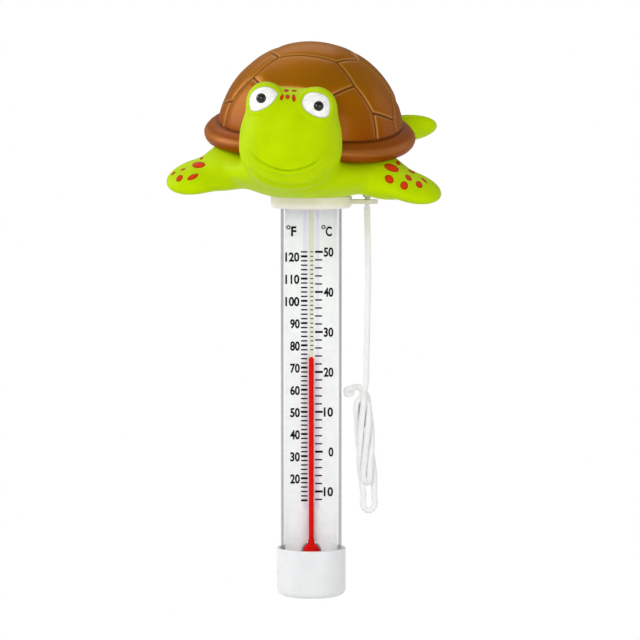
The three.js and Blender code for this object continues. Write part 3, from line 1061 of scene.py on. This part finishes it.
def build_collar(settings):
    """The collar keeps its CAD shape and gets an ivory satin plastic finish."""
    return refinish("collar", moulded_plastic("abs_satin_ivory", settings.colours.collar, 0.35))


def text_mesh(body_text, height, width, centre, align):
    """A word as flat mesh points, at the given height and width a letter, standing up and facing -Y."""
    curve = bpy.data.curves.new("word", "FONT")
    curve.body = body_text
    curve.extrude = 0.0
    curve.offset = 0.032
    curve.resolution_u = 4
    word = bpy.data.objects.new("word", curve)
    bpy.context.scene.collection.objects.link(word)
    bpy.context.view_layer.update()
    mesh = bpy.data.meshes.new_from_object(word.evaluated_get(bpy.context.evaluated_depsgraph_get()))
    points = np.array([v.co for v in mesh.vertices])
    faces = [list(p.vertices) for p in mesh.polygons]
    bpy.data.objects.remove(word)
    bpy.data.meshes.remove(mesh)
    low, high = points.min(0), points.max(0)
    total = width * len(body_text)
    across = (points[:, 0] - low[0]) / (high[0] - low[0]) * total
    if body_text.startswith("1"):
        across *= 0.97
    start = {"left": centre[0], "right": centre[0] - total, "middle": centre[0] - total / 2}[align]
    up = (points[:, 1] - low[1]) / (high[1] - low[1]) * height - height / 2 + centre[1]
    return np.stack([across + start, up], 1), faces


class Ink:
    """Collects flat shapes and prints them as one thin raised layer on the card."""

    def __init__(self, depth_y, thickness):
        self.vertices, self.faces = [], []
        self.depth_y, self.thickness = depth_y, thickness

    def add(self, flat, faces):
        """flat is (x, z) points in metres."""
        start, count = len(self.vertices), len(flat)
        front, back = self.depth_y - self.thickness, self.depth_y + 0.05 * MM
        self.vertices += [(x, front, z) for x, z in flat]
        self.vertices += [(x, back, z) for x, z in flat]
        edge_use = {}
        for face in faces:
            self.faces.append([i + start for i in face])
            self.faces.append([i + start + count for i in reversed(face)])
            for a, b in zip(face, face[1:] + face[:1]):
                edge_use.setdefault(frozenset((a, b)), []).append((a, b))
        for uses in edge_use.values():
            if len(uses) == 1:
                a, b = uses[0]
                self.faces.append([b + start, a + start, a + start + count, b + start + count])

    def bar(self, left, right, height, weight):
        """A level line, weight thick."""
        corners = [(left, height - weight / 2), (right, height - weight / 2)]
        corners += [(right, height + weight / 2), (left, height + weight / 2)]
        self.add(corners, [[0, 1, 2, 3]])

    def ring(self, centre, radius, weight, sides=24):
        """A small degree circle."""
        flat = []
        for size in (radius, radius - weight):
            for side in range(sides):
                angle = 2 * math.pi * side / sides
                flat.append((centre[0] + size * math.cos(angle), centre[1] + size * math.sin(angle)))
        faces = [[s, (s + 1) % sides, sides + (s + 1) % sides, sides + s] for s in range(sides)]
        self.add(flat, faces)

    def word(self, text, height, width, centre, align):
        """A word or number, width a letter."""
        flat, faces = text_mesh(text, height, width, centre, align)
        self.add([tuple(p) for p in flat], faces)


TEN_LINE = 0.86 * MM  # thickness of the lines at every tenth degree
TWO_LINE = 0.57 * MM  # and of those between


def build_scale(settings):
    """Card and the printed Fahrenheit and Celsius scales."""
    sizes = settings.scale
    refinish("scale_card", printed_card("coated_white_card"))

    def height_of(fahrenheit):
        """Height of a Fahrenheit temperature on the card."""
        return READING_Z + (fahrenheit - sizes.reading) * sizes.per_degree

    def height_of_celsius(celsius):
        """Height of a Celsius temperature on the card."""
        return height_of(celsius * 9 / 5 + 32)

    ink = Ink(CARD_LOW.y - 0.02 * MM, 0.04 * MM)
    for degrees in range(10, 123, 2):
        weight = TEN_LINE if degrees % 10 == 0 else TWO_LINE
        ink.bar(-4.1 * MM, -1.5 * MM, height_of(degrees), weight)
    for degrees in range(-12, 51, 2):
        weight, end = (TWO_LINE, 4.3) if degrees % 10 else (TEN_LINE, 4.6)
        ink.bar(1.5 * MM, end * MM, height_of_celsius(degrees), weight)
    digit = 1.92 * MM
    for degrees in range(20, 121, 10):
        digits_end = (-4.6 * MM, height_of(degrees) - 0.3 * MM)
        ink.word(str(degrees), sizes.digit_height, digit, digits_end, "right")
    for degrees in range(-10, 51, 10):
        label = str(abs(degrees))
        start = 5.0 * MM + (2 - len(label)) * digit
        ink.word(label, sizes.digit_height, digit, (start, height_of_celsius(degrees) - 0.1 * MM), "left")
    heading = height_of(131.3)
    letter = 4.0 * MM
    ink.ring((-9.1 * MM, heading + 1.5 * MM), 0.85 * MM, 0.42 * MM)
    ink.word("F", letter, 2.1 * MM, (-7.0 * MM, heading - 0.1 * MM), "middle")
    ink.ring((4.9 * MM, heading + 1.6 * MM), 0.85 * MM, 0.42 * MM)
    ink.word("C", letter, 2.5 * MM, (7.0 * MM, heading - 0.1 * MM), "middle")
    for degrees in range(12, 123, 2):
        if height_of(degrees) > READING_Z + 1.5 * MM:
            ink.bar(-0.4 * MM, 0.8 * MM, height_of(degrees), 0.4 * MM)
    # The yellow strip is the glass's yellow backing seen through it. The two side strips are painted
    # reflections of the round glass, laid on the card as ink.
    strips = (
        ("yellow_backing", 0.0, 1.1, "#ECEAD8", height_of(12)),
        ("left_reflection", -2.5, 0.7, "#E9E8F3", height_of(6)),
        ("right_reflection", 2.5, 0.7, "#E9E8F3", height_of(6)),
    )
    for label, middle, half, colour, bottom in strips:
        strip = Ink(CARD_LOW.y, 0.02 * MM)
        top = CARD_HIGH.z - 0.5 * MM
        strip.bar((middle - half) * MM, (middle + half) * MM, (bottom + top) / 2, top - bottom)
        painted = piece_from(label, strip.vertices, strip.faces, soft_print(f"{label}_ink", colour), False)
        finish_piece(painted, "stem", "card")
    print_ink = soft_print("black_screen_ink", "#070707")
    printed = piece_from("scale_print", ink.vertices, ink.faces, print_ink, False)
    return finish_piece(printed, "stem", "card")


def build_thermometer(settings):
    """Glass, bulb, the red column up from the bulb and its rounded top, which rides on the moving spirit
    top.
    """
    centre = (0.0, STEM_Y)
    glass_radius = 1.6 * MM
    column = 1.02 * MM
    outer = arc(0.0, BULB_Z, BULB_RADIUS, -90, 62, 20)
    bulb_top = BULB_Z + BULB_RADIUS
    neck = [(glass_radius + 0.2 * MM, bulb_top), (glass_radius, bulb_top + 1.2 * MM)]
    dome = arc(0.0, GLASS_HIGH.z - glass_radius, glass_radius, 0, 90, 8)
    profile = [*outer, *neck, *dome]
    clear = clear_wall("borosilicate_clear", "#D6D5CC", 0.3, 0.7, 0.05)
    glass = spun("thermometer_glass", profile, clear, 48, centre)
    finish_piece(glass, "stem", "glass", "capillary_glass")
    red = dyed_spirit("dyed_spirit_red", settings.colours.spirit)
    ball = arc(0.0, BULB_Z, BULB_RADIUS - 0.3 * MM, -90, 66, 20)
    shoulder = [(column + 0.35 * MM, BULB_HIGH.z - 1.6 * MM), (column + 0.05 * MM, BULB_HIGH.z - 0.6 * MM)]
    bulb_profile = [*ball, *shoulder, (column, BULB_HIGH.z), (0.0, BULB_HIGH.z)]
    bulb = spun("bulb_spirit", bulb_profile, red, 48, centre)
    finish_piece(bulb, "stem", "red_spirit", "spirit_bulb")
    low, high = BULB_Z, MENISCUS_LOW.z + 0.3 * MM
    steps = 60
    rows = [(column * 0.995, low + (high - low) * step / steps) for step in range(steps + 1)]
    thread = spun("spirit_thread", [(0.0, low), *rows, (0.0, high)], red, 32, centre)
    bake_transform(thread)
    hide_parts("spirit_column")
    tip_profile = [(0.0, MENISCUS_LOW.z), (column, MENISCUS_LOW.z)]
    tip_profile += arc(0.0, READING_Z - column, column, 0, 90, 8)
    tip = spun("spirit_tip", tip_profile, red, 32, centre)
    finish_piece(tip, "spirit_top", "red_spirit", "spirit_meniscus")
    return glass


def finish_hidden_parts():
    """The pieces inside keep their CAD shapes and get their own finishes."""
    finishes = {
        "ballast_weight": turned_steel("turned_steel"),
        "bulb_cushion": printed_card("closed_cell_foam_white"),
        "top_plug": moulded_plastic("polythene_white", "#E8E8E2", 0.45),
        "cap_gasket": moulded_plastic("nitrile_rubber_black", "#1B1B1C", 0.6),
        "tube_seal_ring": moulded_plastic("nitrile_ring_black", "#1B1B1C", 0.55),
        "collar_seal_ring": moulded_plastic("nitrile_cord_black", "#1B1B1C", 0.55),
    }
    for name, material in finishes.items():
        refinish(name, material)


# ---------------------------------------------------------------- lanyard

# The straight stretch's route, in metres, the same as the part's own cord.
CORD_ROUTE = [
    (0.0223, 0, 0.1556), (0.0224, 0, 0.150), (0.0226, -0.0002, 0.140), (0.0227, -0.0003, 0.130),
    (0.0226, -0.0003, 0.120), (0.0224, -0.0002, 0.110), (0.0222, 0, 0.100), (0.0220, 0, 0.092),
    (0.0218, 0, 0.0852),
]
HANK_TOP = np.array([0.0203, 0.0, 0.0800])
HANK_LOW = np.array([0.0226, 0.0, 0.0462])
RUN_SPREAD = 2.65  # mm from the hank's middle to each run
FOOT_TURN = 42  # degrees the runs stand turned at the hank's foot
HANK_TWIST = 120  # degrees the runs wind round the hank's middle from top to foot
EYE_OFFSET = np.array([0.5, 0, -8.9])  # mm from the hank's foot to the middle of its eye
HALF_EYE = 2.45  # mm
# How the cord's end passes over the hank's top, in mm from there.
OVER_THE_TOP = [(-0.7, 1.9, -1.6), (0.2, 2.1, 0.9), (-0.4, 1.8, 3.2), (-2.1, 0.9, 3.9), (-3.7, -0.7, 3.7)]


def lanyard_route():
    """The cord's whole centreline: down the hank, round the eye, then up and down in folded runs."""
    axis = HANK_LOW - HANK_TOP
    reach = np.linalg.norm(axis)
    along = axis / reach
    depth = np.array([0, 1.0, 0])
    sideways = np.cross(depth, -along)

    def at(share, clock):
        """A point share of the way down the run that stands at this angle, with a light twist."""
        turn = math.radians(clock + FOOT_TURN + HANK_TWIST * (share - 1))
        swell = 1.03 + 0.07 * math.sin(11.0 * share + clock) + 0.05 * math.sin(4.0 * share + 0.6)
        across, back = RUN_SPREAD * swell * math.cos(turn), -RUN_SPREAD * swell * math.sin(turn)
        return HANK_TOP + along * share * reach + (sideways * across + depth * back) * MM

    def run(start, end, clock, stops=9):
        """Points along one run between two shares of the way down."""
        return [at(start + (end - start) * k / (stops - 1), clock) for k in range(stops)]

    def fold(share, way, first, last, height_mm, steps=5):
        """A half turn between two runs, past the hank's top (way -1) or foot (way 1)."""
        made = []
        for step in range(1, steps):
            angle = math.pi * step / steps
            mix = (1 - math.cos(angle)) / 2
            middle = at(share, first) * (1 - mix) + at(share, last) * mix
            made.append(middle + along * way * height_mm * MM * math.sin(angle))
        return made

    right, front_right, front_left = -28, 34, 92
    left, back_left, back_right = 150, 215, 272
    eye = HANK_LOW + EYE_OFFSET * MM
    route = [np.array(p, float) for p in CORD_ROUTE]
    route += run(0.10, 0.97, right)
    for degrees in range(30, -211, -24):
        angle = math.radians(degrees)
        stretch = 5.2 if math.sin(angle) > 0 else 3.2
        route.append(eye + np.array([HALF_EYE * math.cos(angle), 0, stretch * math.sin(angle)]) * MM)
    route += run(0.97, 0.08, left)
    route += fold(0.04, -1, left, front_right, 2.3)
    route += run(0.08, 0.93, front_right)
    route += fold(0.96, 1, front_right, back_left, 2.2)
    route += run(0.93, 0.12, back_left)
    route += fold(0.09, -1, back_left, front_left, 2.2)
    route += run(0.12, 0.92, front_left)
    route += fold(0.95, 1, front_left, back_right, 2.2)
    route += run(0.92, 0.16, back_right)
    knot = HANK_TOP + np.array([-5.2, -0.6, 2.1]) * MM
    route += [HANK_TOP + np.array(point) * MM for point in OVER_THE_TOP]
    for step in range(11):
        angle = math.radians(62 + 38 * step)
        drift = -1.3 + 0.26 * step
        route.append(knot + np.array([1.15 * math.cos(angle), drift, 1.25 * math.sin(angle)]) * MM)
    return even_steps(np.array(smooth_line(route, 12)), 0.34 * MM)


def even_steps(line, step):
    """The same route with points an even step apart."""
    gaps = np.linalg.norm(np.diff(line, axis=0), axis=1)
    keep = np.append(True, gaps > 1e-7)
    line = line[keep]
    run = np.append(0.0, np.cumsum(np.linalg.norm(np.diff(line, axis=0), axis=1)))
    count = int(run[-1] / step)
    places = np.linspace(0, run[-1], count + 1)
    even = np.stack([np.interp(places, run, line[:, k]) for k in range(3)], 1)
    for _ in range(6):
        even[1:-1] = even[1:-1] * 0.5 + (even[:-2] + even[2:]) * 0.25
    return even


def braided_tube(name, line, diameter, material, sides=24):
    """A tube along the line whose surface is two sets of crossing strands."""
    radius = diameter / 2
    tangents = np.gradient(line, axis=0)
    tangents /= np.linalg.norm(tangents, axis=1)[:, None]
    normal = np.cross(tangents[0], [0, 1.0, 0])
    normal /= np.linalg.norm(normal)
    run = np.append(0.0, np.cumsum(np.linalg.norm(np.diff(line, axis=0), axis=1)))
    lay = 5.2 * MM  # length of one full turn of a strand
    strands = 4
    rise = 0.16 * MM
    vertices, strand_gap_shades = [], []
    angles = 2 * np.pi * np.arange(sides) / sides
    for point, tangent, length in zip(line, tangents, run):
        normal = normal - tangent * (normal @ tangent)
        normal /= np.linalg.norm(normal)
        across = np.cross(tangent, normal)
        turn = 2 * math.pi * length / lay
        one = np.cos(strands * (angles - turn))
        other = np.cos(strands * (angles + turn))
        relief_here = np.maximum(one, other) * 0.6 + 0.4 * one * other
        # Painted shade: the lower the surface between the strands, the more shade is painted there.
        strand_gap_shades += [float(1 - (r + 0.6) / 1.4) for r in relief_here]
        size = radius - rise * 0.35 + rise * relief_here
        ring = point + size[:, None] * (np.cos(angles)[:, None] * normal + np.sin(angles)[:, None] * across)
        vertices += [tuple(v) for v in ring]
    rows = len(line)
    faces = grid_faces(rows, sides)
    faces = [tuple(reversed(f)) for f in faces]
    first, last = len(vertices), len(vertices) + 1
    vertices += [tuple(line[0] - tangents[0] * radius), tuple(line[-1] + tangents[-1] * 0.4 * MM)]
    top = (rows - 1) * sides
    faces += fan(first, 0, sides)
    faces += fan(last, top, sides, backward=True)
    made = piece_from(name, vertices, faces, material)
    outward_faces(made)
    stamp(made.data, "strand_gap_shade", np.clip([*strand_gap_shades, 0.0, 0.0], 0, 1))
    return made


def knot_route():
    """A small overhand stopper knot above the tab, with its neck down through the eyelet."""
    centre = Vector(((KNOT_LOW.x + KNOT_HIGH.x) / 2, 0.0, KNOT_HIGH.z - 1.3 * MM))
    neck = (KNOT_LOW.z - 0.9 * MM, KNOT_LOW.z + 1.4 * MM)
    route = [np.array([centre.x, 0.0, height]) for height in neck]
    for step in range(25):
        angle = 2 * math.pi * 1.25 * step / 24
        spread = 1.15 * MM
        route.append(
            np.array(
                [
                    centre.x + spread * math.cos(angle) * (0.5 + step / 48),
                    spread * math.sin(angle) * (0.5 + step / 48),
                    centre.z + 0.25 * MM * math.sin(angle * 1.6) - 0.1 * MM,
                ]
            )
        )
    return even_steps(np.array(smooth_line(route, 4)), 0.3 * MM)


def build_lanyard(settings):
    """The lanyard's one cord with its hank, and the stopper knot above the tab."""
    material = braided_nylon("braided_nylon_white", settings.colours.cord)
    diameter = settings.lanyard.diameter
    line = lanyard_route()
    cord = braided_tube("lanyard_braid", line, diameter, material)
    knot = braided_tube("lanyard_stopper_knot", knot_route(), diameter * 0.85, material)
    finish_piece(knot, "stem", "white_cord", "lanyard_knot")
    finish_piece(cord, "lanyard", "white_cord", "lanyard_cord", "lanyard_hank")
    return cord


# ---------------------------------------------------------------- stage


CAMERA_SPOT = (0.0035, -1.4, 0.215)
AIM_HEIGHT = 0.1108  # where the camera's middle ray meets the stem
SEEN_WIDTH = 0.256  # width of the view at the stem
# Name, place, side length and power of each soft light, all aimed just below the turtle.
LAMPS = [
    ("key_softbox", (-0.66, -1.12, 0.75), 0.8, 8.2),
    ("fill_softbox", (0.85, -1.05, 0.4), 0.8, 4.7),
    ("left_rim_softbox", (-1.1, 0.35, 0.7), 0.7, 6.5),
    ("right_rim_softbox", (1.1, 0.55, 0.5), 0.7, 1.0),
    ("top_softbox", (-0.15, 0.75, 1.15), 0.9, 3.2),
]
LAMPS_AIM = Vector((0, 0, 0.13))
FLOOR_RADII = (0.4, 1.5, 6.0)
FLOOR_SIDES = 64
FLOOR_Z = -0.0002  # just under the part, so that the two never share a plane


def build_stage():
    """A pale floor and sky with five soft lights."""
    scene = bpy.context.scene
    camera_data = bpy.data.cameras.new("camera")
    camera = bpy.data.objects.new("camera", camera_data)
    scene.collection.objects.link(camera)
    _, distance, level = CAMERA_SPOT
    drop = level - AIM_HEIGHT
    down = math.atan(drop / -distance)
    camera.location = CAMERA_SPOT
    camera.rotation_euler = (math.pi / 2 - down, 0, 0)
    camera_data.sensor_width = 36
    camera_data.lens = camera_data.sensor_width * math.hypot(distance, drop) / SEEN_WIDTH
    camera_data.clip_start = 0.05
    camera_data.clip_end = 50
    scene.camera = camera
    for name, spot, size, power in LAMPS:
        data = bpy.data.lights.new(name, "AREA")
        data.shape = "SQUARE"
        data.size = size
        data.energy = power
        lamp = bpy.data.objects.new(name, data)
        lamp.location = spot
        aim = LAMPS_AIM - Vector(spot)
        lamp.rotation_euler = aim.to_track_quat("-Z", "Y").to_euler()
        scene.collection.objects.link(lamp)
    world = bpy.data.worlds.new("white_room")
    world.use_nodes = True
    tree = world.node_tree
    tree.nodes.clear()
    seen = node(tree, "ShaderNodeBackground", Color=(1, 1, 1, 1), Strength=1.0)
    lit = node(tree, "ShaderNodeBackground", Color=(0.97, 0.98, 1, 1), Strength=0.34)
    path = node(tree, "ShaderNodeLightPath").outputs["Is Camera Ray"]
    mix = node(tree, "ShaderNodeMixShader", i0=path, i1=lit.outputs[0], i2=seen.outputs[0])
    out = tree.nodes.new("ShaderNodeOutputWorld")
    tree.links.new(mix.outputs[0], out.inputs["Surface"])
    scene.world = world
    material, floor_tree = new_material("pale_sweep")
    bright = node(floor_tree, "ShaderNodeEmission", Color=(1, 1, 1, 1), Strength=1.0)
    matt = node(floor_tree, "ShaderNodeBsdfDiffuse", Color=(0.55, 0.55, 0.55, 1))
    seen_ray = node(floor_tree, "ShaderNodeLightPath").outputs["Is Camera Ray"]
    glow = node(floor_tree, "ShaderNodeEmission", Color=(1, 1, 1, 1), Strength=0.36)
    lit_floor = node(floor_tree, "ShaderNodeAddShader", i0=matt.outputs[0], i1=glow.outputs[0])
    both = node(
        floor_tree, "ShaderNodeMixShader", i0=seen_ray, i1=lit_floor.outputs[0], i2=bright.outputs[0]
    )
    finish_surface(floor_tree, both.outputs[0])
    turns = [2 * math.pi * number / FLOOR_SIDES for number in range(FLOOR_SIDES)]
    vertices = [(r * math.cos(a), r * math.sin(a), FLOOR_Z) for r in FLOOR_RADII for a in turns]
    faces = [face[::-1] for face in grid_faces(len(FLOOR_RADII), FLOOR_SIDES)]
    faces += fan(len(vertices), 0, FLOOR_SIDES)
    vertices.append((0.0, 0.0, FLOOR_Z))
    floor = piece_from("floor", vertices, faces, material, False)
    scene.view_settings.view_transform = "Standard"
    scene.view_settings.look = "None"


# ---------------------------------------------------------------- operators


def settings_of(context):
    """The thermometer's settings in this scene."""
    return context.scene.pool_thermometer


class POOLTHERM_OT_stage(bpy.types.Operator):
    """Camera, soft lights, white room and pale floor"""

    bl_idname = "pooltherm.stage"
    bl_label = "Stage"

    def execute(self, context):
        build_stage()
        return {"FINISHED"}


class POOLTHERM_OT_lanyard(bpy.types.Operator):
    """Braided cord, its hank and its stopper knot"""

    bl_idname = "pooltherm.lanyard"
    bl_label = "Lanyard"

    def execute(self, context):
        build_lanyard(settings_of(context))
        return {"FINISHED"}


class POOLTHERM_OT_body(bpy.types.Operator):
    """Green vinyl body with head and flippers"""

    bl_idname = "pooltherm.body"
    bl_label = "Turtle body"

    def execute(self, context):
        build_turtle_body(settings_of(context))
        return {"FINISHED"}


class POOLTHERM_OT_shell(bpy.types.Operator):
    """Brown pearl shell with its scutes and rim"""

    bl_idname = "pooltherm.shell"
    bl_label = "Turtle shell"

    def execute(self, context):
        build_turtle_shell(settings_of(context))
        return {"FINISHED"}


class POOLTHERM_OT_paint(bpy.types.Operator):
    """Eyes and sprayed spots, laid on the skin"""

    bl_idname = "pooltherm.paint"
    bl_label = "Turtle paint"

    def execute(self, context):
        if "turtle_body_skin" not in bpy.data.objects:
            raise RuntimeError("the turtle's body has to be built before its paint")
        build_turtle_paint(settings_of(context))
        return {"FINISHED"}


class POOLTHERM_OT_stem(bpy.types.Operator):
    """End cap, clear tube, collar and the pieces inside"""

    bl_idname = "pooltherm.stem"
    bl_label = "Stem"

    def execute(self, context):
        settings = settings_of(context)
        build_cap(settings)
        build_tube()
        build_collar(settings)
        finish_hidden_parts()
        return {"FINISHED"}


class POOLTHERM_OT_scale(bpy.types.Operator):
    """Card with its printed scales"""

    bl_idname = "pooltherm.scale"
    bl_label = "Scale"

    def execute(self, context):
        build_scale(settings_of(context))
        return {"FINISHED"}


class POOLTHERM_OT_glass(bpy.types.Operator):
    """Glass thermometer with its red spirit"""

    bl_idname = "pooltherm.glass"
    bl_label = "Spirit thermometer"

    def execute(self, context):
        build_thermometer(settings_of(context))
        return {"FINISHED"}


STEPS = (
    POOLTHERM_OT_stage,
    POOLTHERM_OT_lanyard,
    POOLTHERM_OT_body,
    POOLTHERM_OT_shell,
    POOLTHERM_OT_paint,
    POOLTHERM_OT_stem,
    POOLTHERM_OT_scale,
    POOLTHERM_OT_glass,
)


class POOLTHERM_PT_panel(bpy.types.Panel):
    """Lists the thermometer's building steps and its settings"""

    bl_idname = "POOLTHERM_PT_panel"
    bl_label = "Pool thermometer"
    bl_space_type = "VIEW_3D"
    bl_region_type = "UI"
    bl_category = "Thermometer"

    def draw(self, context):
        settings = settings_of(context)
        for group in (settings.turtle, settings.scale, settings.lanyard, settings.colours):
            box = self.layout.box()
            for name in group.__annotations__:
                box.prop(group, name)
        for step in STEPS:
            self.layout.operator(step.bl_idname)


CLASSES = (FloatSizes, ScaleSizes, CordSizes, Finishes, ThermometerSettings, *STEPS, POOLTHERM_PT_panel)


def register():
    """Registers the add-on."""
    for made in CLASSES:
        bpy.utils.register_class(made)
    bpy.types.Scene.pool_thermometer = bpy.props.PointerProperty(type=ThermometerSettings)


def unregister():
    """Takes the add-on away."""
    del bpy.types.Scene.pool_thermometer
    for made in reversed(CLASSES):
        bpy.utils.unregister_class(made)


def main():
    """Builds the thermometer."""
    register()
    bpy.ops.pooltherm.stage()
    bpy.ops.pooltherm.lanyard()
    bpy.ops.pooltherm.body()
    bpy.ops.pooltherm.shell()
    bpy.ops.pooltherm.paint()
    bpy.ops.pooltherm.stem()
    bpy.ops.pooltherm.scale()
    bpy.ops.pooltherm.glass()


if __name__ == "__main__":
    main()
